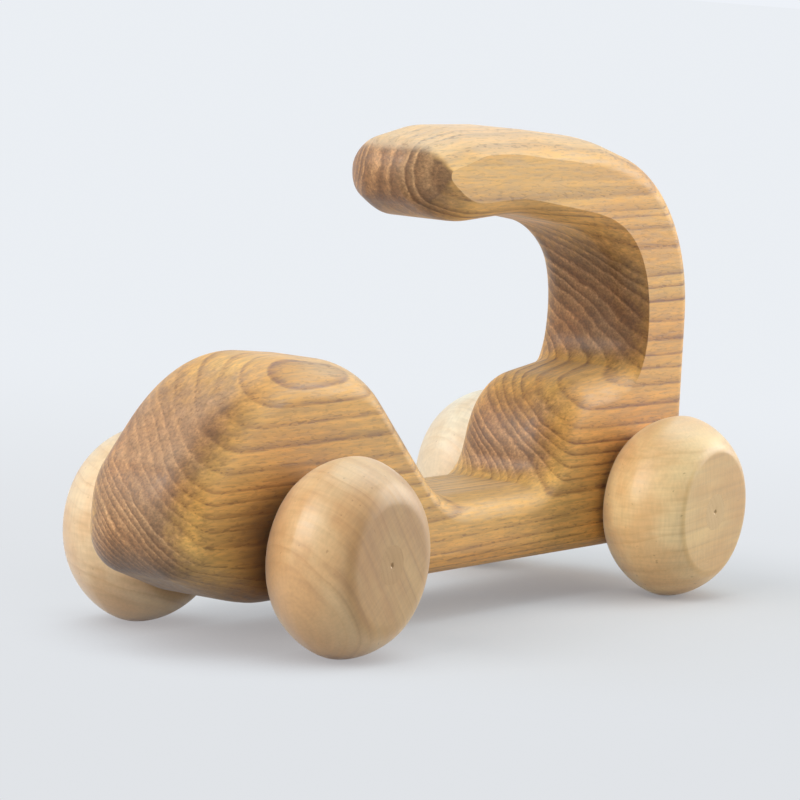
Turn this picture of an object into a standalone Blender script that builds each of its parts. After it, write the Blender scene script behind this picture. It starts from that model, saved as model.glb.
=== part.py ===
"""Wooden push-along toy car.

One body is sawn from a thick plank and carved round: a domed bonnet, a low saddle, a seat and a tall
C-shaped handle to push it by. Two dowel axles turn in bores through the body, and each carries a pair
of turned wheels that are glued on with the dowel's ends flush in their faces.

Sizes are in metres. +X is the front of the car, +Z is up and the floor is Z = 0.
"""

import math

import bmesh
import bpy
from mathutils import Vector

# The plank: its width tapers from the underside to the top of the handle.
UNDERSIDE_WIDTH = 0.0278
HANDLE_WIDTH = 0.0242

# Lengths of the side view that follow one another from the nose to the back.
NOSE_SLOPE_RUN = 0.0236
BONNET_TOP_LENGTH = 0.0376
BONNET_BACK_RUN = 0.0321
SADDLE_LENGTH = 0.0394
SEAT_LIP_LEAN = 0.0015
SEAT_LENGTH = 0.0333
POST_DEPTH = 0.0235

# The chin's run back under the nose, and the heights of the bonnet, saddle and seat above the underside.
CHIN_RUN = 0.0254
CHIN_RISE = 0.0085
NOSE_RISE = 0.0242
BONNET_RISE = 0.0490
BONNET_TOP_FALL = 0.0031
BAR_DEPTH = 0.0159
SEAT_LIP_RISE = 0.0359
SEAT_RISE = 0.0402

# The handle: the gap for the hand above the seat, then the arm, from its root forward to its tip.
HAND_GAP = 0.0297
ARM_DEPTH = 0.0225
ARM_ROOT_RISE = 0.0174
ARM_HIP_RUN = 0.0141
GRIP_RUN = 0.0345
GRIP_RISE = 0.0045
GRIP_END_RUN = 0.0266
KNOB_RUN = 0.0129
KNOB_DEPTH = 0.0198
TIP_UNDER_DROP = 0.0138
TIP_TOP_DROP = 0.0031
TIP_SWEEP_RUN = 0.0204
TIP_SWEEP = 0.0033
BROW_RUN = 0.0179
CROWN_RUN = 0.0280
NAPE_RUN = 0.0450
NAPE_DROP = 0.0020
SHOULDER_DROP = 0.0131

# Curves of the side view, one radius at each corner.
HEEL_RADIUS = 0.0120
CHIN_RADIUS = 0.0360
LIP_RADIUS = 0.0115
NOSE_RADIUS = 0.0165
BONNET_FRONT_RADIUS = 0.0372
BONNET_BACK_RADIUS = 0.0273
SADDLE_FRONT_RADIUS = 0.0195
SADDLE_BACK_RADIUS = 0.0055
SEAT_LIP_RADIUS = 0.0185
POST_FOOT_RADIUS = 0.0064
ARM_ROOT_RADIUS = 0.0190
ARM_HIP_RADIUS = 0.0324
GRIP_RADIUS = 0.0649
KNOB_RADIUS = 0.0330
TIP_UNDER_RADIUS = 0.0070
TIP_TOP_RADIUS = 0.0070
BROW_RADIUS = 0.0260
CROWN_RADIUS = 0.1500
NAPE_RADIUS = 0.0822
SHOULDER_RADIUS = 0.0372

# Carved edge rounds: how far each reaches in from the outline of the side view, and across the plank.
UNDERSIDE_ROUND = 0.0045
CHIN_ROUND = 0.0080
NOSE_ROUND = 0.0112
BONNET_FRONT_ROUND = 0.0092
BONNET_TOP_ROUND = 0.0078
BONNET_BACK_ROUND = 0.0062
SADDLE_ROUND = 0.0060
SEAT_FRONT_ROUND = 0.0098
SEAT_ROUND = 0.0068
NAPE_ROUND = 0.0057
POST_BACK_ROUND = 0.0050

# Whittled edges of the handle: how far each reaches in from the outline and across the plank, and how
# steeply they leave the sides, in a crisp line or a softer one.
POST_FRONT_EDGE = 0.0041
POST_FRONT_REACH = 0.0075
ARM_ROOT_EDGE = 0.0052
ARM_ROOT_REACH = 0.0065
ARM_HIP_EDGE = 0.0035
ARM_HIP_REACH = 0.0065
GRIP_EDGE = 0.0040
GRIP_REACH = 0.0060
KNOB_EDGE = 0.0060
KNOB_REACH = 0.0075
TIP_EDGE = 0.0062
TIP_REACH = 0.0090
BROW_EDGE = 0.0062
BROW_REACH = 0.0092
ARM_TOP_EDGE = 0.0050
ARM_TOP_REACH = 0.0095
CROWN_EDGE = 0.0055
CROWN_REACH = 0.0070
CRISP_BREAK = math.radians(60)
SOFT_BREAK = math.radians(45)
CROWN_BREAK = math.radians(30)
GRIP_BREAK = math.radians(18)
LEAST_RADIUS = 0.0008

# Wheels and axles.
WHEEL_DIAMETER = 0.0400
WHEEL_THICKNESS = 0.0205
TREAD_DEPTH = 0.0060
TREAD_CORE = 0.0045
TREAD_POWER = 1.68
FRONT_OVERHANG = 0.0402
REAR_OVERHANG = 0.0228
BORE_HEIGHT = 0.0102
WHEEL_GAP = 0.0007
AXLE_DIAMETER = 0.0080
AXLE_END_CHAMFER = 0.0003
RUNNING_CLEARANCE = 0.0003
GLUE_CLEARANCE = 0.0003

# Fineness of the faceted surfaces.
ARC_STEP = math.radians(7.5)
RUN_STEP = 0.0090
ROUND_STEPS = 6
TURN_STEPS = 40
RIM_STEPS = 6

BONNET_LENGTH = NOSE_SLOPE_RUN + BONNET_TOP_LENGTH + BONNET_BACK_RUN
BODY_LENGTH = BONNET_LENGTH + SADDLE_LENGTH + SEAT_LIP_LEAN + SEAT_LENGTH + POST_DEPTH
NOSE_X = BODY_LENGTH / 2
BACK_X = -BODY_LENGTH / 2
POST_X = BACK_X + POST_DEPTH
TIP_X = POST_X + ARM_HIP_RUN + GRIP_RUN + GRIP_END_RUN + KNOB_RUN
FRONT_AXLE_X = NOSE_X - FRONT_OVERHANG
REAR_AXLE_X = BACK_X + REAR_OVERHANG
AXLE_Z = WHEEL_DIAMETER / 2
UNDERSIDE_Z = AXLE_Z - BORE_HEIGHT
SEAT_Z = UNDERSIDE_Z + SEAT_RISE
GRIP_Z = SEAT_Z + HAND_GAP
HANDLE_Z = GRIP_Z + ARM_DEPTH
PLANK_WIDTH = max(UNDERSIDE_WIDTH, HANDLE_WIDTH)
WHEEL_Y = PLANK_WIDTH / 2 + WHEEL_GAP + WHEEL_THICKNESS / 2
AXLE_LENGTH = 2 * WHEEL_Y + WHEEL_THICKNESS


def clear_scene():
    """Start from an empty scene."""
    for obj in list(bpy.data.objects):
        bpy.data.objects.remove(obj, do_unlink=True)


def wood(name, colour, roughness):
    """Plain oiled wood."""
    material = bpy.data.materials.new(name)
    material.use_nodes = True
    shader = material.node_tree.nodes["Principled BSDF"]
    shader.inputs["Base Color"].default_value = (*colour, 1.0)
    shader.inputs["Roughness"].default_value = roughness
    shader.inputs["Metallic"].default_value = 0.0
    return material


def add_object(name, bm, material, location=(0, 0, 0), parent=None):
    """Turn a bmesh into a named, smooth-shaded object."""
    bmesh.ops.recalc_face_normals(bm, faces=bm.faces)
    mesh = bpy.data.meshes.new(name)
    bm.to_mesh(mesh)
    bm.free()
    mesh.materials.append(material)
    mesh.shade_smooth()
    mesh.set_sharp_from_angle(angle=math.radians(30))
    return place(name, mesh, location, parent)


def place(name, mesh, location, parent):
    """Put a mesh in the scene, under its parent where it has one."""
    obj = bpy.data.objects.new(name, mesh)
    bpy.context.collection.objects.link(obj)
    obj.location = location
    obj.parent = parent
    return obj


def half_width(z):
    """Half the plank's width at a height."""
    share = (z - UNDERSIDE_Z) / (HANDLE_Z - UNDERSIDE_Z)
    return (UNDERSIDE_WIDTH + (HANDLE_WIDTH - UNDERSIDE_WIDTH) * share) / 2


def within(edge, wall):
    """An edge round that leaves some wood between it and the one on the far side of its wall."""
    return min(edge, wall / 2 - LEAST_RADIUS)


def rounded(edge):
    """An edge with a quarter round: its depth in from the outline, its reach across and its break."""
    return edge, edge, 0


def side_corners():
    """Corners of the side view, counter-clockwise from the heel as seen with the nose to the right.

    Each is x, z and the radius there, then the edge and the sweep of the face that runs on from it.
    """
    bonnet_front_x = NOSE_X - NOSE_SLOPE_RUN
    bonnet_back_x = bonnet_front_x - BONNET_TOP_LENGTH
    saddle_front_x = bonnet_back_x - BONNET_BACK_RUN
    saddle_back_x = saddle_front_x - SADDLE_LENGTH
    seat_x = saddle_back_x - SEAT_LIP_LEAN
    bonnet_z = UNDERSIDE_Z + BONNET_RISE
    saddle_z = UNDERSIDE_Z + BAR_DEPTH
    hip_x = POST_X + ARM_HIP_RUN
    nape_x = BACK_X + NAPE_RUN
    arm = ARM_DEPTH - GRIP_RISE
    underside = rounded(within(UNDERSIDE_ROUND, BAR_DEPTH))
    saddle = rounded(within(SADDLE_ROUND, BAR_DEPTH))
    post_back = rounded(within(POST_BACK_ROUND, POST_DEPTH))
    post_front = (within(POST_FRONT_EDGE, POST_DEPTH), POST_FRONT_REACH, CRISP_BREAK)
    root = (within(ARM_ROOT_EDGE, POST_DEPTH), ARM_ROOT_REACH, CRISP_BREAK)
    hip = (within(ARM_HIP_EDGE, arm), ARM_HIP_REACH, SOFT_BREAK)
    grip = (within(GRIP_EDGE, arm), GRIP_REACH, GRIP_BREAK)
    knob = (within(KNOB_EDGE, KNOB_DEPTH), KNOB_REACH, GRIP_BREAK)
    tip = (TIP_EDGE, TIP_REACH, SOFT_BREAK)
    brow = (within(BROW_EDGE, KNOB_DEPTH), BROW_REACH, SOFT_BREAK)
    arm_top = (within(ARM_TOP_EDGE, arm), ARM_TOP_REACH, CRISP_BREAK)
    crown = (within(CROWN_EDGE, arm), CROWN_REACH, CROWN_BREAK)
    nape = rounded(within(NAPE_ROUND, arm))
    return [
        (BACK_X, UNDERSIDE_Z, HEEL_RADIUS, underside, 0),
        (NOSE_X - CHIN_RUN, UNDERSIDE_Z, CHIN_RADIUS, rounded(CHIN_ROUND), 0),
        (NOSE_X, UNDERSIDE_Z + CHIN_RISE, LIP_RADIUS, rounded(NOSE_ROUND), 0),
        (NOSE_X, UNDERSIDE_Z + NOSE_RISE, NOSE_RADIUS, rounded(BONNET_FRONT_ROUND), 0),
        (bonnet_front_x, bonnet_z, BONNET_FRONT_RADIUS, rounded(BONNET_TOP_ROUND), 0),
        (bonnet_back_x, bonnet_z - BONNET_TOP_FALL, BONNET_BACK_RADIUS, rounded(BONNET_BACK_ROUND), 0),
        (saddle_front_x, saddle_z, SADDLE_FRONT_RADIUS, saddle, 0),
        (saddle_back_x, saddle_z, SADDLE_BACK_RADIUS, rounded(SEAT_FRONT_ROUND), 0),
        (seat_x, UNDERSIDE_Z + SEAT_LIP_RISE, SEAT_LIP_RADIUS, rounded(SEAT_ROUND), 0),
        (POST_X, SEAT_Z, POST_FOOT_RADIUS, post_front, 0),
        (POST_X, SEAT_Z + ARM_ROOT_RISE, ARM_ROOT_RADIUS, root, 0),
        (hip_x, GRIP_Z, ARM_HIP_RADIUS, hip, 0),
        (hip_x + GRIP_RUN, GRIP_Z + GRIP_RISE, GRIP_RADIUS, grip, TIP_SWEEP),
        (TIP_X - KNOB_RUN, HANDLE_Z - KNOB_DEPTH, KNOB_RADIUS, knob, TIP_SWEEP),
        (TIP_X, HANDLE_Z - TIP_UNDER_DROP, TIP_UNDER_RADIUS, tip, TIP_SWEEP),
        (TIP_X, HANDLE_Z - TIP_TOP_DROP, TIP_TOP_RADIUS, brow, TIP_SWEEP),
        (TIP_X - BROW_RUN, HANDLE_Z, BROW_RADIUS, arm_top, TIP_SWEEP),
        (nape_x + CROWN_RUN, HANDLE_Z, CROWN_RADIUS, crown, 0),
        (nape_x, HANDLE_Z - NAPE_DROP, NAPE_RADIUS, nape, 0),
        (BACK_X, HANDLE_Z - SHOULDER_DROP, SHOULDER_RADIUS, post_back, 0),
    ]


def fitted_radii(points, radii):
    """Limit each corner's radius so that neighbouring fillets never overrun the edge they share."""
    count = len(points)
    reach = []
    for i in range(count):
        before = (points[i] - points[i - 1]).normalized()
        after = (points[(i + 1) % count] - points[i]).normalized()
        reach.append(math.tan(before.angle(after) / 2))
    fitted = []
    for i in range(count):
        limit = 1.0
        for a, b in ((i - 1, i), (i, (i + 1) % count)):
            need = radii[a] * reach[a] + radii[b] * reach[b]
            limit = min(limit, 0.98 * (points[b] - points[a]).length / need)
        fitted.append(radii[i] * limit)
    return fitted, reach


def side_outline():
    """Sample the side view as fillets and straight runs.

    Each sample is the point, the direction into the wood, and the edge there with its sweep.
    """
    corners = side_corners()
    count = len(corners)
    points = [Vector((corner[0], corner[1])) for corner in corners]
    radii, reach = fitted_radii(points, [corner[2] for corner in corners])
    faces = [Vector((*corner[3], corner[4])) for corner in corners]
    turns = []
    for i in range(count):
        before = (points[i] - points[i - 1]).normalized()
        after = (points[(i + 1) % count] - points[i]).normalized()
        turns.append((before, after, before.x * after.y - before.y * after.x))
    for i in range(count):
        for j in (i, (i + 1) % count):
            if turns[j][2] > 0:
                faces[i].x = min(faces[i].x, radii[j] - LEAST_RADIUS)
    samples = []
    for i in range(count):
        before, after, cross = turns[i]
        bend = math.copysign(before.angle(after), cross)
        inward = Vector((-before.y, before.x))
        centre = points[i] - before * radii[i] * reach[i] + inward * math.copysign(radii[i], cross)
        steps = max(2, math.ceil(abs(bend) / ARC_STEP))
        for k in range(steps + 1):
            share = k / steps
            turn = bend * share
            direction = Vector((
                inward.x * math.cos(turn) - inward.y * math.sin(turn),
                inward.x * math.sin(turn) + inward.y * math.cos(turn),
            ))
            face = faces[i - 1].lerp(faces[i], share * share * (3 - 2 * share))
            samples.append((centre - direction * math.copysign(radii[i], cross), direction, *face))
        start = samples[-1][0]
        j = (i + 1) % count
        stop = points[j] - after * radii[j] * reach[j]
        runs = max(1, math.ceil((stop - start).length / RUN_STEP))
        for k in range(1, runs):
            samples.append((start.lerp(stop, k / runs), samples[-1][1], *faces[i]))
    return samples


def body_rings():
    """Loft the side view across the plank, one ring of points for each step of the carved edges.

    The sweep draws the tip of the arm back toward the plank's sides, so that it is round in plan view.
    """
    samples = side_outline()
    steps = range(ROUND_STEPS + 1)
    rings = []
    for side, order in ((1, steps), (-1, reversed(steps))):
        for k in order:
            ring = []
            for point, inward, depth, reach, crisp, sweep in samples:
                angle = crisp + (math.pi / 2 - crisp) * k / ROUND_STEPS
                wall = half_width(point.y)
                reach = min(reach, wall - LEAST_RADIUS)
                spot = point + inward * depth * (1 - math.sin(angle)) / (1 - math.sin(crisp))
                y = half_width(spot.y) - reach * (1 - math.cos(angle) / math.cos(crisp))
                share = max(0, 1 - (TIP_X - spot.x) / TIP_SWEEP_RUN)
                ring.append((spot.x - sweep * share ** 2 * (y / wall) ** 2, side * y, spot.y))
            rings.append(ring)
    return rings


def make_body(material):
    """The carved body with its two axle bores."""
    bm = bmesh.new()
    loops = [[bm.verts.new(co) for co in ring] for ring in body_rings()]
    for first, second in zip(loops, loops[1:]):
        for k in range(len(first)):
            bm.faces.new((first[k - 1], first[k], second[k], second[k - 1]))
    bm.faces.new(loops[0])
    bm.faces.new(loops[-1])
    body = add_object("body", bm, material)
    for end, x in (("front", FRONT_AXLE_X), ("rear", REAR_AXLE_X)):
        radius = AXLE_DIAMETER / 2 + RUNNING_CLEARANCE
        reach = PLANK_WIDTH
        profile = [(0, -reach), (radius, -reach), (radius, reach), (0, reach)]
        cutter = add_object(end + "_bore", turned(profile), material, (x, 0, AXLE_Z))
        cutter.hide_render = True
        cutter.display_type = "WIRE"
        bore = body.modifiers.new(end + " axle bore", "BOOLEAN")
        bore.operation = "DIFFERENCE"
        bore.solver = "EXACT"
        bore.object = cutter
    return body


def turned(profile):
    """Turn a profile of (radius, y) points about the Y axis; one that ends on the axis is closed there."""
    bm = bmesh.new()
    rings = []
    for radius, y in profile:
        if radius == 0:
            rings.append([bm.verts.new((0, y, 0))] * TURN_STEPS)
            continue
        ring = []
        for k in range(TURN_STEPS):
            angle = 2 * math.pi * k / TURN_STEPS
            ring.append(bm.verts.new((radius * math.cos(angle), y, radius * math.sin(angle))))
        rings.append(ring)
    pairs = list(zip(rings, rings[1:]))
    if profile[0][0] > 0:
        pairs.append((rings[-1], rings[0]))
    for first, second in pairs:
        for k in range(TURN_STEPS):
            corners = dict.fromkeys((first[k - 1], first[k], second[k], second[k - 1]))
            bm.faces.new(list(corners))
    return bm


def wheel_profile():
    """Flat faces with a clear edge, a full round tread between them and a bore for the dowel."""
    half = WHEEL_THICKNESS / 2
    bore = AXLE_DIAMETER / 2 + GLUE_CLEARANCE
    reach = TREAD_CORE + TREAD_DEPTH
    core = WHEEL_DIAMETER / 2 - reach
    end = math.acos((TREAD_CORE / reach) ** (TREAD_POWER / 2))
    full = half / math.sin(end) ** (2 / TREAD_POWER)
    profile = [(bore, -half)]
    for k in range(-RIM_STEPS, RIM_STEPS + 1):
        angle = end * k / RIM_STEPS
        across = math.copysign(abs(math.sin(angle)) ** (2 / TREAD_POWER), angle)
        profile.append((core + reach * math.cos(angle) ** (2 / TREAD_POWER), full * across))
    profile.append((bore, half))
    return profile


def axle_profile():
    """A dowel as long as the car is wide, its ends eased by a small chamfer."""
    radius = AXLE_DIAMETER / 2
    half = AXLE_LENGTH / 2
    return [
        (0, -half),
        (radius - AXLE_END_CHAMFER, -half),
        (radius, -half + AXLE_END_CHAMFER),
        (radius, half - AXLE_END_CHAMFER),
        (radius - AXLE_END_CHAMFER, half),
        (0, half),
    ]


def make_wheelset(end, x, wheel_wood, dowel_wood):
    """An axle with its two wheels, under an empty on the axis that they turn about."""
    pivot = place(end + "_wheelset", None, (x, 0, AXLE_Z), None)
    add_object(end + "_axle", turned(axle_profile()), dowel_wood, parent=pivot)
    left = add_object(end + "_left_wheel", turned(wheel_profile()), wheel_wood, (0, WHEEL_Y, 0), pivot)
    place(end + "_right_wheel", left.data, (0, -WHEEL_Y, 0), pivot)


def main():
    clear_scene()
    ash = wood("body wood", (0.50, 0.31, 0.13), 0.45)
    birch = wood("wheel wood", (0.72, 0.51, 0.27), 0.42)
    dowel = wood("dowel wood", (0.62, 0.42, 0.21), 0.5)
    make_body(ash)
    make_wheelset("front", FRONT_AXLE_X, birch, dowel)
    make_wheelset("rear", REAR_AXLE_X, birch, dowel)


main()
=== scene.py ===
"""Looks of the wooden push-along toy car.

The carved body, the turned wheels and the dowels, each in its own wood, then the floor, light and camera.
"""

import math
from types import SimpleNamespace

import bmesh
import bpy
import numpy as np
from mathutils import Matrix, Vector


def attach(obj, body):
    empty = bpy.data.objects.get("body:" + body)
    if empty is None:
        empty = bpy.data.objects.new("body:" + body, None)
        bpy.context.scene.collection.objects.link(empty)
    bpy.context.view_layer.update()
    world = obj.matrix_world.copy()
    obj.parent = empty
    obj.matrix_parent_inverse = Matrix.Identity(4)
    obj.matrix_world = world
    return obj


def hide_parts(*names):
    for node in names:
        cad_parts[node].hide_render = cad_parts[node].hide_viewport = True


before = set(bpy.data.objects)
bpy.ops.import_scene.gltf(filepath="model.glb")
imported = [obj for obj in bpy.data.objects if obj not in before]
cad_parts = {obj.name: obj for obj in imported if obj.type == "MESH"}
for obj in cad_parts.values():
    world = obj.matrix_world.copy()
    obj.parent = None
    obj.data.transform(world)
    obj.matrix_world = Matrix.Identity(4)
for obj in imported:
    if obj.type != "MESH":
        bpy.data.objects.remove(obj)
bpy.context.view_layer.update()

# Sizes of the body in metres, as in the part.
UNDERSIDE_WIDTH = 0.0278
HANDLE_WIDTH = 0.0242
UNDERSIDE_Z = 0.0098
HANDLE_Z = 0.1022
NOSE_X = 0.0955
BACK_X = -0.0955
POST_X = -0.0720
TIP_X = 0.0161
FRONT_AXLE_X = 0.0553
REAR_AXLE_X = -0.0727
AXLE_Z = 0.0200
BORE_RADIUS = 0.0043
TIP_SWEEP_RUN = 0.0204
TIP_SWEEP = 0.0033

# Sizes of the wheels and dowels. The tread is a superellipse about a core, cut off by the flat faces.
WHEEL_Y = 0.02485
WHEEL_HALF_WIDTH = 0.01025
WHEEL_BORE = 0.0040
TREAD_CORE = 0.0095
TREAD_REACH = 0.0105
FACE_REACH = 0.0045
TREAD_POWER = 1.68
DOWEL_HALF_LENGTH = 0.0351
DOWEL_RADIUS = 0.003995

# A lathe's centre mark in a dowel's end, as (radius, depth) points.
CENTRE_MARK = ((0, 0.00035), (0.0003, 0.00025), (0.0006, 0.00002), (0.0009, 0.0))

# How far the edge of each wheel's faces is eased.
FACE_EASE = {"front_left": 0.0028, "front_right": 0.0018, "rear_left": 0.0012, "rear_right": 0.0018}

# The carver's knife took less off the far edge of the hand gap,
# and left the flats of the sides with soft corners.
FAR_EDGE = 0.73
FLAT_SOFTNESS = 0.0030

# The share of a run that the curves at its two ends may take,
# and the least radius that an edge leaves where it goes round an outer corner.
CURVE_SHARE = 0.98
LEAST_RADIUS = 0.0008

# Fineness of the carved surface.
ARC_STEP = math.radians(3)
RUN_STEP = 0.0030
ROUND_STEPS = 12

# Fineness of the turned pieces. Of the tread's points, one in TREAD_KEEP is used.
TREAD_STEPS = 96
TREAD_KEEP = 3
EASE_STEPS = 10
WHEEL_SEGMENTS = 112
DOWEL_SEGMENTS = 64
BORE_SEGMENTS = 48
BORE_CUTTER_HALF = 0.03

# The angle in degrees from which a fold is shaded as an edge.
BODY_FOLD = 16
WHEEL_FOLD = 24
PLAIN_FOLD = 30


def half_width(z):
    """Half the plank's width at a height."""
    share = (z - UNDERSIDE_Z) / (HANDLE_Z - UNDERSIDE_Z)
    return (UNDERSIDE_WIDTH + (HANDLE_WIDTH - UNDERSIDE_WIDTH) * share) / 2


def side_corners():
    """Corners of the side view: x, z and radius, then the edge of the next face.

    An edge has a depth, a reach across, the angle where its round breaks from the side, 1 where the end of
    the arm sweeps back, and 1 where it belongs to the hand gap.
    """
    crisp = math.radians(60)
    eased = math.radians(45)
    slight = math.radians(30)
    soft = math.radians(18)
    return [
        (BACK_X, UNDERSIDE_Z, 0.0120, 0.0045, 0.0045, 0, 0, 0),
        (0.0701, UNDERSIDE_Z, 0.0360, 0.0080, 0.0080, 0, 0, 0),
        (NOSE_X, 0.0183, 0.0115, 0.0112, 0.0112, 0, 0, 0),
        (NOSE_X, 0.0340, 0.0165, 0.0096, 0.0088, 0, 0, 0),
        (0.0719, 0.0588, 0.0372, 0.0077, 0.0080, 0, 0, 0),
        (0.0343, 0.0557, 0.0273, 0.0050, 0.0070, 0, 0, 0),
        (0.0022, 0.0257, 0.0195, 0.0060, 0.0060, 0, 0, 0),
        (-0.0372, 0.0257, 0.0055, 0.0098, 0.0098, 0, 0, 0),
        (-0.0387, 0.0457, 0.0185, 0.0067, 0.0070, 0, 0, 0),
        (POST_X, 0.0500, 0.0064, 0.0041, 0.0075, crisp, 0, 1),
        (POST_X, 0.0674, 0.0190, 0.0052, 0.0065, crisp, 0, 1),
        (-0.0579, 0.0797, 0.0324, 0.0035, 0.0065, eased, 0, 1),
        (-0.0234, 0.0842, 0.0649, 0.0040, 0.0060, soft, 1, 1),
        (0.0032, 0.0824, 0.0330, 0.0060, 0.0075, soft, 1, 0),
        (TIP_X, 0.0884, 0.0070, 0.0062, 0.0090, eased, 1, 0),
        (TIP_X, 0.0991, 0.0070, 0.0062, 0.0092, eased, 1, 0),
        (-0.0018, HANDLE_Z, 0.0260, 0.0050, 0.0095, crisp, 1, 0),
        (-0.0225, HANDLE_Z, 0.1500, 0.0055, 0.0070, slight, 0, 0),
        (-0.0505, 0.1002, 0.0822, 0.0055, 0.0060, 0, 0, 0),
        (BACK_X, 0.0891, 0.0372, 0.0050, 0.0050, 0, 0, 0),
    ]


def side_outline():
    """Sample the side view; each sample is the point, the way into the wood and the edge there."""
    corners = side_corners()
    count = len(corners)
    points = [Vector(corner[:2]) for corner in corners]
    faces = [Vector(corner[3:]) for corner in corners]
    turns = []
    for i in range(count):
        before = (points[i] - points[i - 1]).normalized()
        after = (points[(i + 1) % count] - points[i]).normalized()
        turns.append((before, after, before.x * after.y - before.y * after.x))
    reach = [math.tan(before.angle(after) / 2) for before, after, _ in turns]
    radii = []
    for i in range(count):
        limit = 1.0
        for a, b in ((i - 1, i), (i, (i + 1) % count)):
            need = corners[a][2] * reach[a] + corners[b][2] * reach[b]
            limit = min(limit, CURVE_SHARE * (points[b] - points[a]).length / need)
        radii.append(corners[i][2] * limit)
    for i in range(count):
        for j in (i, (i + 1) % count):
            if turns[j][2] > 0:
                faces[i][0] = min(faces[i][0], radii[j] - LEAST_RADIUS)
    samples = []
    for i in range(count):
        before, after, cross = turns[i]
        bend = math.copysign(before.angle(after), cross)
        inward = Vector((-before.y, before.x))
        radius = math.copysign(radii[i], cross)
        centre = points[i] - before * radii[i] * reach[i] + inward * radius
        steps = max(2, math.ceil(abs(bend) / ARC_STEP))
        for k in range(steps + 1):
            share = k / steps
            direction = Matrix.Rotation(bend * share, 2) @ inward
            face = faces[i - 1].lerp(faces[i], share * share * (3 - 2 * share))
            samples.append((centre - direction * radius, direction, face))
        start = samples[-1][0]
        j = (i + 1) % count
        stop = points[j] - after * radii[j] * reach[j]
        runs = max(1, math.ceil((stop - start).length / RUN_STEP))
        for k in range(1, runs):
            samples.append((start.lerp(stop, k / runs), samples[-1][1], faces[i]))
    return [np.array([sample[i] for sample in samples]) for i in range(3)]


def softening(outline):
    """Weights that average each sample of the side view with its neighbours along it."""
    steps = np.linalg.norm(np.roll(outline, -1, 0) - outline, axis=1)
    along = np.cumsum(steps) - steps
    apart = np.abs(along[:, None] - along)
    apart = np.minimum(apart, steps.sum() - apart)
    weights = np.exp(-apart ** 2 / (2 * FLAT_SOFTNESS ** 2)) * (steps + np.roll(steps, 1))
    return weights / weights.sum(1, keepdims=True)


def body_rings():
    """Loft the side view across the plank, one ring of points for each step of the edges."""
    outline, inward, edge = side_outline()
    depth, reach, crisp, swept, gap = edge.T
    soften = softening(outline)
    wall = half_width(outline[:, 1])
    rings = []
    steps = range(ROUND_STEPS + 1)
    for side, order in ((1, steps), (-1, reversed(steps))):
        cut = 1 - (1 - FAR_EDGE) * gap * (side < 0)
        flat = soften @ (outline + inward * (depth * cut)[:, None])
        for k in order:
            angle = crisp + (math.pi / 2 - crisp) * k / ROUND_STEPS
            share = (1 - np.sin(angle)) / (1 - np.sin(crisp))
            spot = outline + (flat - outline) * share[:, None]
            y = half_width(spot[:, 1]) - reach * cut * (np.cos(crisp) - np.cos(angle)) / np.cos(crisp)
            near = np.maximum(0, 1 - (TIP_X - spot[:, 0]) / TIP_SWEEP_RUN)
            x = spot[:, 0] - swept * TIP_SWEEP * near ** 2 * (y / wall) ** 2
            rings.append(np.stack((x, side * y, spot[:, 1]), axis=1))
    return rings


def add_object(name, mesh, material, location=(0, 0, 0)):
    """Put a mesh in the scene with its material."""
    obj = bpy.data.objects.new(name, mesh)
    bpy.context.scene.collection.objects.link(obj)
    obj.location = location
    mesh.materials.clear()
    mesh.materials.append(material)
    return obj


def to_mesh(name, bm, fold=PLAIN_FOLD):
    """Close a bmesh into a smooth-shaded mesh whose folds above an angle stay sharp."""
    bmesh.ops.recalc_face_normals(bm, faces=bm.faces)
    mesh = bpy.data.meshes.new(name)
    bm.to_mesh(mesh)
    bm.free()
    mesh.shade_smooth()
    mesh.set_sharp_from_angle(angle=math.radians(fold))
    return mesh


def turned(profile, steps):
    """Turn a closed or axis-ended profile of (radius, y) points about the Y axis."""
    bm = bmesh.new()
    rings = []
    for radius, y in profile:
        if radius == 0:
            rings.append([bm.verts.new((0, y, 0))] * steps)
            continue
        angles = [2 * math.pi * k / steps for k in range(steps)]
        rings.append([bm.verts.new((radius * math.cos(a), y, radius * math.sin(a))) for a in angles])
    pairs = list(zip(rings, rings[1:]))
    if profile[0][0] > 0:
        pairs.append((rings[-1], rings[0]))
    for first, second in pairs:
        for k in range(steps):
            bm.faces.new(list(dict.fromkeys((first[k - 1], first[k], second[k], second[k - 1]))))
    return bm


def body_mesh():
    """The carved body with its axle bores cut through."""
    bm = bmesh.new()
    loops = [[bm.verts.new(co) for co in ring] for ring in body_rings()]
    for first, second in zip(loops, loops[1:]):
        for k in range(len(first)):
            bm.faces.new((first[k - 1], first[k], second[k], second[k - 1]))
    bm.faces.new(loops[0])
    bm.faces.new(loops[-1])
    plank = bpy.data.objects.new("plank", to_mesh("plank", bm))
    bpy.context.scene.collection.objects.link(plank)
    ends = (-BORE_CUTTER_HALF, BORE_CUTTER_HALF)
    profile = [(0, ends[0]), (BORE_RADIUS, ends[0]), (BORE_RADIUS, ends[1]), (0, ends[1])]
    cutters = []
    for x in (FRONT_AXLE_X, REAR_AXLE_X):
        cutter = bpy.data.objects.new("bore", to_mesh("bore", turned(profile, BORE_SEGMENTS)))
        bpy.context.scene.collection.objects.link(cutter)
        cutter.location = (x, 0, AXLE_Z)
        cut = plank.modifiers.new("bore", "BOOLEAN")
        cut.solver = "EXACT"
        cut.object = cutter
        cutters.append(cutter)
    bpy.context.view_layer.update()
    mesh = bpy.data.meshes.new_from_object(plank.evaluated_get(bpy.context.evaluated_depsgraph_get()))
    for obj in (plank, *cutters):
        bpy.data.objects.remove(obj, do_unlink=True)
    mesh.name = "carved_body"
    mesh.shade_smooth()
    mesh.set_sharp_from_angle(angle=math.radians(BODY_FOLD))
    return mesh


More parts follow.
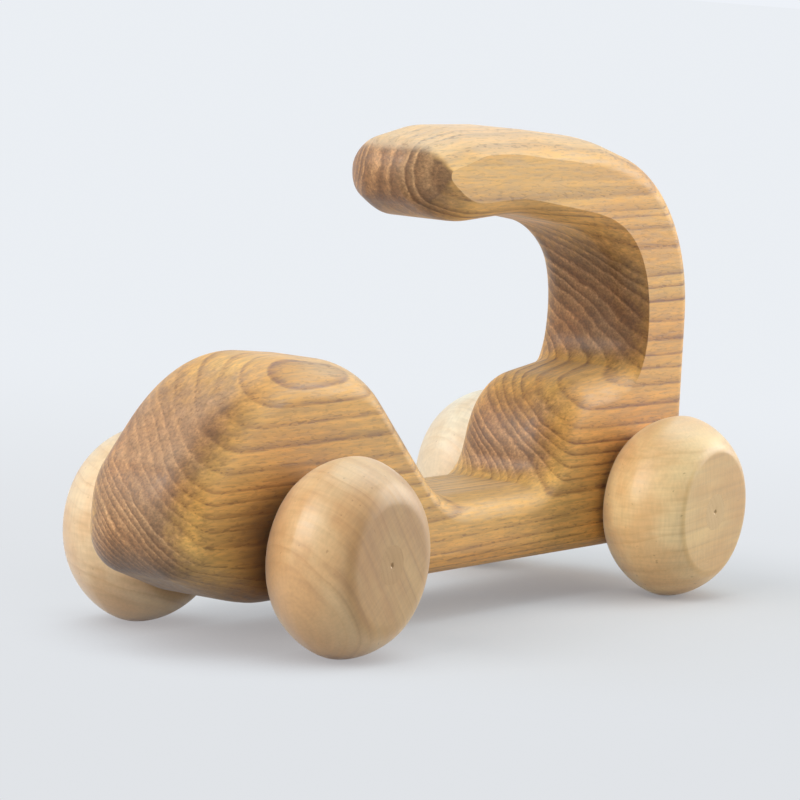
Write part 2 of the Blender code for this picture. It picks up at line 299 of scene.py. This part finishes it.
def wheel_profile(ease):
    """A full round tread, flat faces whose edges are eased over a length, and a snug bore."""
    power = 2 / TREAD_POWER
    end = math.acos((FACE_REACH / TREAD_REACH) ** (TREAD_POWER / 2))
    full = WHEEL_HALF_WIDTH / math.sin(end) ** power
    tread = []
    for k in range(TREAD_STEPS + 1):
        angle = end * k / TREAD_STEPS
        radius = TREAD_CORE + TREAD_REACH * math.cos(angle) ** power
        tread.append(Vector((radius, full * math.sin(angle) ** power)))
    rim = tread[-1]
    tread = [spot for spot in tread if (spot - rim).length > ease]
    inner = rim - Vector((ease, 0))
    bend = []
    for k in range(1, EASE_STEPS + 1):
        share = k / EASE_STEPS
        bend.append(tread[-1].lerp(rim, share).lerp(rim.lerp(inner, share), share))
    outer = tread[1::TREAD_KEEP] + bend + [Vector((WHEEL_BORE, WHEEL_HALF_WIDTH))]
    mirrored = [(radius, -y) for radius, y in reversed(outer)]
    return mirrored + [tuple(tread[0])] + [tuple(spot) for spot in outer]


def dowel_profile():
    """A dowel flush with the wheels' faces, with a lathe's centre mark in each end."""
    end = (*CENTRE_MARK, (DOWEL_RADIUS, 0.0))
    low = [(radius, depth - DOWEL_HALF_LENGTH) for radius, depth in end]
    return low + [(radius, -y) for radius, y in reversed(low)]


def rgb(red, green, blue):
    """A colour written in 0 to 255 screen values, as linear light."""
    return (*((channel / 255) ** 2.2 for channel in (red, green, blue)), 1)


# Colours of the body: long grain, end grain and what lies over both, painted shade and painted sheen among
# it.
SIDE_PALE = rgb(231, 181, 99)
SIDE_LINE = rgb(138, 88, 38)
# Painted shade round the front wheels.
PAINTED_WHEEL_SHADE = rgb(98, 59, 18)
END_DARK = rgb(95, 62, 37)
END_PALE = rgb(207, 164, 117)
# A painted sheen on the bonnet's upper slope.
PAINTED_SLOPE_SHEEN = rgb(222, 192, 160)
BODY_TINT = rgb(236, 196, 140)
# A painted sheen on the tops of the handle and the bonnet.
PAINTED_TOP_SHEEN = rgb(226, 204, 172)
BODY_PORE = rgb(96, 62, 30)

# Colours that all the wheels have in common, and the pores of both dowels.
WHEEL_TINT = rgb(216, 168, 112)
# Painted shade on the wheels' flat faces.
PAINTED_FACE_SHADE = rgb(238, 230, 208)
WHEEL_PORE = rgb(120, 80, 42)
DOWEL_PORE = rgb(118, 82, 48)

# Each wheel's grain angle in degrees, its pale and dark tone, and how plain its rings show. The far wheels,
# front_right and rear_right, are also made paler as painted light, for the brighter light on that side.
WHEEL_WOODS_AND_PAINTED_LIGHT = {
    "front_left": (40, rgb(209, 177, 132), rgb(166, 124, 78), 0.34),
    "front_right": (75, rgb(214, 189, 151), rgb(180, 144, 104), 0.4),
    "rear_left": (-84, rgb(234, 206, 154), rgb(200, 158, 104), 0.3),
    "rear_right": (20, rgb(224, 217, 195), rgb(204, 177, 134), 0.35),
}

# Each dowel's pale and dark tone.
DOWEL_WOODS = {
    "front": (rgb(190, 154, 108), rgb(142, 100, 60)),
    "rear": (rgb(212, 180, 130), rgb(176, 134, 84)),
}

# Profiles across one growth ring, as (place in the ring, value) stops.
SIDE_RING = (
    (0.0, 0.0), (0.06, 0.75), (0.11, 1.0), (0.18, 0.8),
    (0.3, 0.42), (0.5, 0.17), (0.75, 0.04), (0.97, 0.0),
)
END_RING = (
    (0.0, 0.40), (0.1, 0.08), (0.25, 0.16), (0.5, 0.34),
    (0.7, 0.52), (0.85, 0.84), (0.93, 0.78), (1.0, 0.40),
)
WHEEL_RING = ((0.0, 0.9), (0.12, 0.7), (0.45, 0.12), (0.85, 0.2), (1.0, 0.7))
DOWEL_RING = ((0.0, 0.9), (0.2, 0.5), (0.6, 0.1), (1.0, 0.5))

# The value that the bands of the end grain swing about.
END_MIDDLE = 0.38

# Most of a noise's values lie between these two.
NOISE_LOW = 0.3
NOISE_HIGH = 0.7

# How quickly from ring to ring, and by how many rings, the width of the rings varies.
UNEVEN_PACE = 0.31
UNEVEN_SWING = 1.8

# Through the arm the body's rings stand upright, as if all of it were at one height,
# and they are closer together by this share.
ARM_LEVEL = 0.084
ARM_CLOSER = 1.6

SHEEN_ROUGHNESS = 0.5
BUMP_DEPTH = 0.0002


class Tree:
    """Short calls for building the nodes of a material or a world."""

    def __init__(self, owner):
        owner.use_nodes = True
        self.owner = owner
        self.tree = owner.node_tree
        self.shader = self.tree.nodes.get("Principled BSDF")

    def node(self, kind, inputs, **settings):
        """Add a node, set or link its inputs and return it."""
        node = self.tree.nodes.new("ShaderNode" + kind)
        for key, value in settings.items():
            setattr(node, key, value)
        for key, value in inputs.items():
            self.put(node.inputs[key], value)
        return node

    def put(self, socket, value):
        """Link a socket to another, or give it a value."""
        if isinstance(value, bpy.types.NodeSocket):
            self.tree.links.new(value, socket)
        else:
            socket.default_value = value

    def math(self, operation, a, b=0.0):
        return self.node("Math", {0: a, 1: b}, operation=operation).outputs[0]

    def product(self, first, *factors):
        """Multiply numbers."""
        for factor in factors:
            first = self.math("MULTIPLY", first, factor)
        return first

    def vector(self, operation, a, b=(0, 0, 0)):
        return self.node("VectorMath", {0: a, 1: b}, operation=operation).outputs[0]

    def length(self, vector):
        return self.node("VectorMath", {0: vector}, operation="LENGTH").outputs["Value"]

    def split(self, vector):
        """A vector's three numbers."""
        return list(self.node("SeparateXYZ", {0: vector}).outputs)

    def join(self, x, y, z=0.0):
        return self.node("CombineXYZ", {0: x, 1: y, 2: z}).outputs[0]

    def noise(self, place, scale, detail=2.0, roughness=0.5, output=0):
        """Noise about 0.5, with its waves to the metre given for each axis."""
        spot = self.vector("MULTIPLY", place, scale)
        inputs = {"Vector": spot, "Scale": 1.0, "Detail": detail, "Roughness": roughness}
        return self.node("TexNoise", inputs).outputs[output]

    def remap(self, value, low, high, to_low=0.0, to_high=1.0):
        """Carry a value smoothly from one range to another, and hold it at both ends."""
        inputs = {"Value": value, 1: low, 2: high, 3: to_low, 4: to_high}
        return self.node("MapRange", inputs, interpolation_type="SMOOTHSTEP").outputs[0]

    def spread(self, noise, low, high):
        """Carry a noise to a range."""
        return self.remap(noise, NOISE_LOW, NOISE_HIGH, low, high)

    def ramp(self, value, stops):
        """A grey ramp through (position, value) stops."""
        node = self.node("ValToRGB", {"Fac": value})
        elements = node.color_ramp.elements
        while len(elements) < len(stops):
            elements.new(0.5)
        for element, (position, grey) in zip(elements, stops):
            element.position = position
            element.color = (grey, grey, grey, 1)
        return node.outputs["Color"]

    def mix(self, factor, a, b, blend="MIX"):
        node = self.node("Mix", {"Factor": factor}, data_type="RGBA", blend_type=blend)
        self.put(node.inputs[6], a)
        self.put(node.inputs[7], b)
        return node.outputs[2]

    def times(self, colour, factor):
        """Make a colour lighter or darker by a factor."""
        return self.mix(1.0, colour, factor, "MULTIPLY")

    def surface(self, colour, roughness, height, strength):
        """Give the shader its colour and roughness, and a bump of some strength."""
        self.put(self.shader.inputs["Base Color"], colour)
        self.put(self.shader.inputs["Roughness"], roughness)
        bump = self.node("Bump", {"Height": height, "Strength": strength, "Distance": BUMP_DEPTH})
        self.put(self.shader.inputs["Normal"], bump.outputs[0])

    def sheen(self, weight):
        self.shader.inputs["Sheen Weight"].default_value = weight
        self.shader.inputs["Sheen Roughness"].default_value = SHEEN_ROUGHNESS


def growth_rings(tree, place, centre, flat, spacing, warp, warp_scale, heart=None):
    """Growth rings about an axis: a point's place in its ring from 0 to 1, and the ring's own chance number.

    Spacing is the width of a ring, or where a heart radius is given, its share of the distance from there.
    """
    drift = tree.vector("SUBTRACT", tree.noise(place, warp_scale, output="Color"), (0.5, 0.5, 0.5))
    moved = tree.vector("ADD", place, tree.vector("MULTIPLY", drift, (warp, warp, warp)))
    radius = tree.length(tree.vector("MULTIPLY", tree.vector("SUBTRACT", moved, centre), flat))
    if heart:
        radius = tree.math("LOGARITHM", tree.math("SUBTRACT", radius, heart), math.e)
    turns = tree.math("DIVIDE", radius, spacing)
    pace = {"W": turns, "Scale": UNEVEN_PACE, "Detail": 1.0}
    uneven = tree.node("TexNoise", pace, noise_dimensions="1D").outputs[0]
    turns = tree.math("ADD", turns, tree.product(uneven, UNEVEN_SWING))
    number = tree.math("FLOOR", turns)
    chance = tree.node("TexWhiteNoise", {"W": number}, noise_dimensions="1D").outputs["Value"]
    return tree.math("FRACT", turns), chance


def body_places(tree):
    """Where a point of the body is, which way it faces, and whether it is on the bonnet or the arm."""
    coordinates = tree.node("TexCoord", {})
    place = coordinates.outputs["Object"]
    normal = coordinates.outputs["Normal"]
    x, y, z = tree.split(place)
    ahead, aside, _ = tree.split(tree.vector("ABSOLUTE", normal))
    return SimpleNamespace(
        place=place, x=x, y=y, z=z, ahead=ahead, aside=aside, rise=tree.split(normal)[2],
        front=tree.remap(x, -0.03, 0.0), arm=tree.remap(z, 0.078, 0.094))


def body_growth(tree, at):
    """The body's growth rings: each point's place in its ring, and how plainly the ring shows.

    They tilt toward the left side, and run upright and closer together through the arm.
    """
    closer = tree.math("ADD", tree.product(at.arm, ARM_CLOSER), 1.0)
    level = tree.node("Mix", {"Factor": at.arm, 2: at.z, 3: ARM_LEVEL}).outputs[0]
    upright = tree.join(at.x, tree.product(at.y, closer), level)
    within, chance = growth_rings(
        tree, upright, centre=(0, -0.0992, -0.0748), flat=(0, 1, 1), spacing=0.0424,
        warp=0.0045, warp_scale=(8, 34, 34), heart=0.105)
    fade = tree.remap(tree.noise(at.place, (18, 90, 90)), 0.28, 0.66, 0.65, 1.1)
    return within, tree.product(tree.math("ADD", tree.product(chance, 0.5), 0.5), fade)


def side_grain(tree, at, line, strength, fibre):
    """Long grain: brown ring lines in yellow wood, and painted shade in a ring round the front wheels."""
    broken = tree.product(
        strength,
        tree.spread(fibre, 1.15, 0.75),
        tree.remap(at.ahead, 0.15, 0.55, 1.0, 0.6),
        tree.remap(at.x, -0.075, -0.055, 1.35, 1.0),
        tree.remap(at.z, 0.010, 0.030, 0.6, 1.0))
    colour = tree.mix(tree.product(line, broken), SIDE_PALE, SIDE_LINE)
    # Painted shade: the wood is browned in a ring round each front axle, most low down, where the front
    # wheels shade the body.
    spoke = tree.vector("SUBTRACT", at.place, (FRONT_AXLE_X, 0, AXLE_Z))
    distance = tree.length(tree.vector("MULTIPLY", spoke, (1, 0, 1)))
    wheel_shade_mask = tree.product(
        tree.remap(distance, 0.014, 0.029, 0.75, 0.0),
        tree.remap(at.z, 0.024, 0.036, 1.0, 0.2))
    return tree.mix(wheel_shade_mask, colour, PAINTED_WHEEL_SHADE)


def end_grain(tree, at, within, strength):
    """End grain: wavy bands of brown with grit and blotches, and a painted sheen that makes the upward slope
    of the bonnet paler.
    """
    wander = tree.noise(at.place, (60, 230, 230), detail=4.0, roughness=0.6)
    wavy = tree.math("ADD", within, tree.remap(wander, 0.25, 0.75, -0.17, 0.17))
    wavy = tree.math("FRACT", tree.math("ADD", wavy, 1.0))
    band = tree.math("SUBTRACT", tree.ramp(wavy, END_RING), END_MIDDLE)
    calm = tree.remap(at.x, 0.02, 0.05, 1.0, 0.75)
    swing = tree.product(band, tree.product(strength, calm))
    colour = tree.mix(tree.math("ADD", swing, END_MIDDLE), END_DARK, END_PALE)
    grit = tree.noise(at.place, (900, 1900, 1900), detail=3.0, roughness=0.7)
    blotch = tree.noise(at.place, (60, 130, 130), detail=3.0, roughness=0.6)
    colour = tree.times(colour, tree.product(tree.spread(grit, 0.72, 1.22), tree.spread(blotch, 0.80, 1.12)))
    # Painted sheen: where the front of the bonnet faces upward, the end grain is mixed toward a pale
    # grey-tan.
    slope_sheen_mask = tree.product(at.front, tree.remap(at.rise, 0.58, 0.74, 0.0, 0.32))
    return tree.mix(slope_sheen_mask, colour, PAINTED_SLOPE_SHEEN)


def end_share(tree, at):
    """How far a point shows end grain: where it faces forward or back, with a ragged border."""
    ragged = tree.noise(at.place, (160, 420, 420), detail=4.0, roughness=0.65)
    ragged = tree.remap(ragged, 0.2, 0.8, -0.12, 0.12)
    down = tree.math("MAXIMUM", tree.product(at.rise, -0.25), 0.0)
    lean = tree.product(at.aside, at.front, tree.remap(at.z, 0.028, 0.042, -0.5, 0.3))
    facing = tree.product(at.ahead, tree.math("ADD", lean, 1.0))
    facing = tree.math("ADD", facing, tree.math("ADD", down, tree.product(at.front, 0.18)))
    return tree.remap(tree.math("ADD", facing, ragged), 0.36, 0.92)


def body_tones(tree, at, colour, fibre):
    """Tint and streak the wood, paint shade on its tops and under the nose, and paint a pale sheen on the
    top of the handle and the crest of the bonnet.
    """
    broad = tree.noise(at.place, (9, 55, 55), detail=3.0)
    colour = tree.mix(tree.spread(broad, 0, 0.55), colour, BODY_TINT, "MULTIPLY")
    streak = tree.noise(at.place, (16, 620, 620))
    # Painted shade: surfaces that face up are darkened, the saddle and other low tops most; the shade factor
    # also holds random streaks and fibre.
    top = tree.remap(at.z, 0.028, 0.036, 0.71, 0.83)
    # Painted shade: the downward-facing underside of the nose is darkened.
    under = tree.product(tree.remap(at.x, 0.03, 0.05), tree.remap(at.rise, -0.8, -0.1, 0.4, 0.0))
    shade = tree.product(
        tree.spread(streak, 0.86, 1.09),
        tree.spread(fibre, 0.82, 1.10),
        tree.remap(at.rise, 0.5, 0.95, 1.0, top),
        tree.math("SUBTRACT", 1.0, under))
    colour = tree.times(colour, shade)
    # Painted sheen: the handle's top and a patch on the bonnet's crest, where they face up, are mixed toward
    # a pale tan.
    handle_sheen = tree.product(
        at.arm,
        tree.remap(at.rise, 0.45, 0.85, 0.0, 0.4),
        tree.remap(at.x, -0.075, -0.045))
    crest_sheen = tree.product(
        at.front,
        tree.remap(at.z, 0.042, 0.050),
        tree.remap(at.y, 0.003, 0.009),
        tree.remap(at.x, 0.045, 0.060, 1.0, 0.0),
        tree.remap(at.rise, 0.5, 0.75, 0.0, 0.36))
    return tree.mix(tree.math("MAXIMUM", handle_sheen, crest_sheen), colour, PAINTED_TOP_SHEEN)


def body_wood():
    """Oiled ring-porous wood with its grain along X."""
    tree = Tree(bpy.data.materials.new("carved_wood"))
    at = body_places(tree)
    within, strength = body_growth(tree, at)
    line = tree.ramp(within, SIDE_RING)
    fibre = tree.noise(at.place, (160, 1700, 1700), detail=3.0)
    side_colour = side_grain(tree, at, line, strength, fibre)
    end_colour = end_grain(tree, at, within, strength)
    colour = tree.mix(end_share(tree, at), side_colour, end_colour)
    colour = body_tones(tree, at, colour, fibre)
    pore = tree.remap(tree.noise(at.place, (420, 2100, 2100), detail=1.0), 0.55, 0.66)
    pore = tree.product(pore, tree.math("ADD", tree.product(line, 0.4), 0.24))
    colour = tree.mix(tree.product(pore, 0.75), colour, BODY_PORE)
    height = tree.math("SUBTRACT", tree.product(fibre, 0.5), pore)
    tree.surface(colour, tree.spread(fibre, 0.46, 0.60), height, strength=0.16)
    tree.sheen(weight=0.15)
    return tree.owner


def wheel_wood(name, turn, pale, dark, depth):
    """Pale turned wood; turn is the angle of its grain about the axle, depth how plain its rings show."""
    tree = Tree(bpy.data.materials.new(name))
    coordinates = tree.node("TexCoord", {})
    spot = coordinates.outputs["Object"]
    turned_back = {"Vector": spot, "Angle": math.radians(-turn)}
    place = tree.node("VectorRotate", turned_back, rotation_type="Y_AXIS").outputs[0]
    within, chance = growth_rings(
        tree, place, centre=(-0.060, 0.012, 0), flat=(1, 1, 0), spacing=0.0031,
        warp=0.004, warp_scale=(60, 60, 14))
    plain = tree.math("ADD", tree.product(chance, depth), depth / 3)
    colour = tree.mix(tree.product(tree.ramp(within, WHEEL_RING), plain), pale, dark)
    broad = tree.noise(place, (90, 90, 30), detail=3.0)
    colour = tree.mix(tree.remap(broad, 0.35, 0.65, 0, 0.42), colour, WHEEL_TINT, "MULTIPLY")
    fibre = tree.noise(place, (1500, 160, 60), detail=3.0)
    colour = tree.times(colour, tree.spread(fibre, 0.955, 1.05))
    fleck = tree.noise(place, (260, 1600, 1600))
    colour = tree.times(colour, tree.spread(fleck, 0.95, 1.03))
    aside = tree.split(tree.vector("ABSOLUTE", coordinates.outputs["Normal"]))[1]
    # Painted shade: the wheels' flat faces, which face sideways, are darkened.
    colour = tree.mix(tree.remap(aside, 0.8, 0.98), colour, PAINTED_FACE_SHADE, "MULTIPLY")
    pore = tree.remap(tree.noise(place, (900, 900, 160), detail=1.0), 0.72, 0.78)
    colour = tree.mix(tree.product(pore, 0.35), colour, WHEEL_PORE)
    radius = tree.length(tree.vector("MULTIPLY", spot, (1, 0, 1)))
    lathe_marks = tree.noise(tree.join(radius, tree.split(spot)[1]), (1100, 1100, 0))
    height = tree.math("SUBTRACT", tree.math("ADD", lathe_marks, tree.product(fibre, 0.6)), pore)
    tree.surface(colour, tree.spread(fibre, 0.36, 0.48), height, strength=0.10)
    tree.sheen(weight=0.26)
    return tree.owner


def dowel_wood(name, pale, dark):
    """Dowel end grain: fine rings and pores, close to the tone of the wheels it carries."""
    tree = Tree(bpy.data.materials.new(name))
    place = tree.node("TexCoord", {}).outputs["Object"]
    within, chance = growth_rings(
        tree, place, centre=(0.012, 0, -0.006), flat=(1, 0, 1), spacing=0.0014,
        warp=0.002, warp_scale=(120, 10, 120))
    plain = tree.math("ADD", tree.product(chance, 0.3), 0.1)
    colour = tree.mix(tree.product(tree.ramp(within, DOWEL_RING), plain), pale, dark)
    pore = tree.remap(tree.noise(place, (2200, 60, 2200), detail=1.0), 0.64, 0.74)
    colour = tree.mix(tree.product(pore, 0.25), colour, DOWEL_PORE)
    tree.surface(colour, tree.remap(pore, 0, 1, 0.42, 0.55), pore, strength=0.1)
    return tree.owner


def make_object():
    """Body, wheels and dowels, each riding on its CAD body."""
    body = add_object("carved_body", body_mesh(), body_wood())
    weighted = body.modifiers.new("flat sides", "WEIGHTED_NORMAL")
    weighted.keep_sharp = True
    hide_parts("body")
    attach(body, "car_body")
    for end, x in (("front", FRONT_AXLE_X), ("rear", REAR_AXLE_X)):
        mesh = to_mesh(end + "_dowel", turned(dowel_profile(), DOWEL_SEGMENTS))
        wood = dowel_wood(end + "_dowel_wood", *DOWEL_WOODS[end])
        peg = add_object(end + "_dowel", mesh, wood, (x, 0, AXLE_Z))
        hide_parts(end + "_axle")
        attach(peg, end + "_wheelset")
        for side, y in (("left", WHEEL_Y), ("right", -WHEEL_Y)):
            name = end + "_" + side
            shape = turned(wheel_profile(FACE_EASE[name]), WHEEL_SEGMENTS)
            mesh = to_mesh(name + "_turning", shape, WHEEL_FOLD)
            wood = wheel_wood(name + "_wood", *WHEEL_WOODS_AND_PAINTED_LIGHT[name])
            wheel = add_object(name + "_turning", mesh, wood, (x, y, AXLE_Z))
            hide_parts(name + "_wheel")
            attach(wheel, end + "_wheelset")


# The floor's half size, its matt colour where it takes the car's shadow,
# and its plain colours, which run from near to far along the way from the camera.
FLOOR_HALF = 8
FLOOR_MATT = rgb(192, 192, 193)
FLOOR_NEAR = rgb(224, 227, 231)
FLOOR_FAR = rgb(234, 238, 243)
AWAY = (-0.837, -0.547, 0)

# The painted shade where the car nearly touches the floor, laid into the floor's plain glow: its colour,
# reach and share.
PAINTED_CONTACT_SHADE = rgb(152, 144, 142)
CONTACT_REACH = 0.03
CONTACT_SHARE = 0.7

# The shadow's place on the floor: its middle and half size, how plain the floor is there,
# and how far from there it has turned quite plain.
SHADOW_MIDDLE = (-0.04, 0.01, 0)
SHADOW_HALF = (0.04, 0.02, 0)
SHADOW_PLAIN = 0.52
SHADOW_FADE = 0.09

# The world as a faint light, and as the backdrop that is seen.
SKY_LIGHT = rgb(250, 244, 236)
SKY_LIGHT_STRENGTH = 0.03
SKY_SEEN = rgb(240, 244, 250)
SKY_SEEN_STRENGTH = 0.98

# Square lamps: name, place, size in metres, power in watts and tint. All aim at the middle of the car.
LAMPS = (
    ("key", (1.11, -0.20, 0.83), 0.9, 22.0, (1.0, 0.975, 0.94)),
    ("fill", (0.63, -1.10, 0.59), 0.8, 4.5, (0.85, 0.94, 1.0)),
    ("right", (-1.14, 0.66, 0.48), 0.9, 17.5, (1.0, 0.92, 0.80)),
    ("top", (-0.59, 0.0, 1.27), 1.0, 10.0, (0.72, 0.90, 1.0)),
)
LAMP_AIM = Vector((0, 0, 0.04))

# The camera at the photograph's angle.
CAMERA_PLACE = (0.7164, 0.4667, 0.1441)
CAMERA_RIGHT = Vector((-0.5528, 0.8304, 0.0691))
CAMERA_UP = Vector((-0.0583, -0.1213, 0.9909))
CAMERA_SENSOR = 36
CAMERA_LENS = 185.4
CAMERA_CLIP_END = 30


def seen(tree):
    """1 for the rays that show the background: the camera's and those through or off a surface."""
    path = tree.node("LightPath", {})
    rays = tree.math("MAXIMUM", path.outputs["Is Camera Ray"], path.outputs["Is Glossy Ray"])
    return tree.math("MAXIMUM", rays, path.outputs["Is Transmission Ray"])


def floor_finish():
    """A matt floor near the car, which keeps its shadow, and a plain pale one further off, with painted
    shade in its glow where the car nearly touches it.
    """
    tree = Tree(bpy.data.materials.new("pale_floor"))
    place = tree.node("TexCoord", {}).outputs["Object"]
    grain = tree.spread(tree.noise(place, (900, 900, 900)), 0.99, 1.01)
    tree.put(tree.shader.inputs["Base Color"], tree.times(FLOOR_MATT, grain))
    tree.shader.inputs["Roughness"].default_value = 0.8
    tree.shader.inputs["Specular IOR Level"].default_value = 0.2
    along = tree.node("VectorMath", {0: place, 1: AWAY}, operation="DOT_PRODUCT").outputs["Value"]
    pale = tree.mix(tree.remap(along, -0.02, 0.45), FLOOR_NEAR, FLOOR_FAR)
    # Painted shade: ambient occlusion darkens the glow toward a grey near the car.
    contact = tree.node("AmbientOcclusion", {"Distance": CONTACT_REACH}).outputs["AO"]
    pale = tree.mix(tree.remap(contact, 0.0, 0.85, CONTACT_SHARE, 0.0), pale, PAINTED_CONTACT_SHADE)
    glow = tree.node("Emission", {"Color": pale}).outputs[0]
    offset = tree.vector("ABSOLUTE", tree.vector("SUBTRACT", place, SHADOW_MIDDLE))
    clear = tree.vector("MAXIMUM", tree.vector("SUBTRACT", offset, SHADOW_HALF))
    plain = tree.remap(tree.length(clear), 0.0, SHADOW_FADE, SHADOW_PLAIN, 1.0)
    plain = tree.product(seen(tree), plain)
    blend = tree.node("MixShader", {0: plain, 1: tree.shader.outputs[0], 2: glow}).outputs[0]
    tree.put(tree.tree.nodes["Material Output"].inputs["Surface"], blend)
    return tree.owner


def make_floor():
    """A flat floor under the wheels."""
    bm = bmesh.new()
    bmesh.ops.create_grid(bm, x_segments=4, y_segments=4, size=FLOOR_HALF)
    floor = add_object("floor", to_mesh("floor", bm), floor_finish())


def make_light():
    """A faint world that is seen as the backdrop, and soft square lamps."""
    scene = bpy.context.scene
    sky = Tree(bpy.data.worlds.new("studio"))
    background = sky.tree.nodes["Background"]
    shown = seen(sky)
    sky.put(background.inputs["Color"], sky.mix(shown, SKY_LIGHT, SKY_SEEN))
    sky.put(background.inputs["Strength"], sky.remap(shown, 0, 1, SKY_LIGHT_STRENGTH, SKY_SEEN_STRENGTH))
    scene.world = sky.owner
    for name, spot, size, power, tint in LAMPS:
        light = bpy.data.lights.new(name, "AREA")
        light.shape = "SQUARE"
        light.size = size
        light.energy = power
        light.color = tint
        lamp = bpy.data.objects.new(name, light)
        scene.collection.objects.link(lamp)
        lamp.location = spot
        lamp.rotation_euler = (LAMP_AIM - Vector(spot)).to_track_quat("-Z", "Y").to_euler()


def make_camera():
    """The camera, and a plain view of its colours."""
    scene = bpy.context.scene
    scene.view_settings.view_transform = "Standard"
    camera = bpy.data.cameras.new("camera")
    camera.sensor_width = CAMERA_SENSOR
    camera.lens = CAMERA_LENS
    camera.clip_end = CAMERA_CLIP_END
    view = bpy.data.objects.new("camera", camera)
    scene.collection.objects.link(view)
    back = CAMERA_RIGHT.cross(CAMERA_UP)
    turn = Matrix((CAMERA_RIGHT, CAMERA_UP, back)).transposed().to_4x4()
    view.matrix_world = Matrix.Translation(CAMERA_PLACE) @ turn
    scene.camera = view


make_object()
make_floor()
make_light()
make_camera()
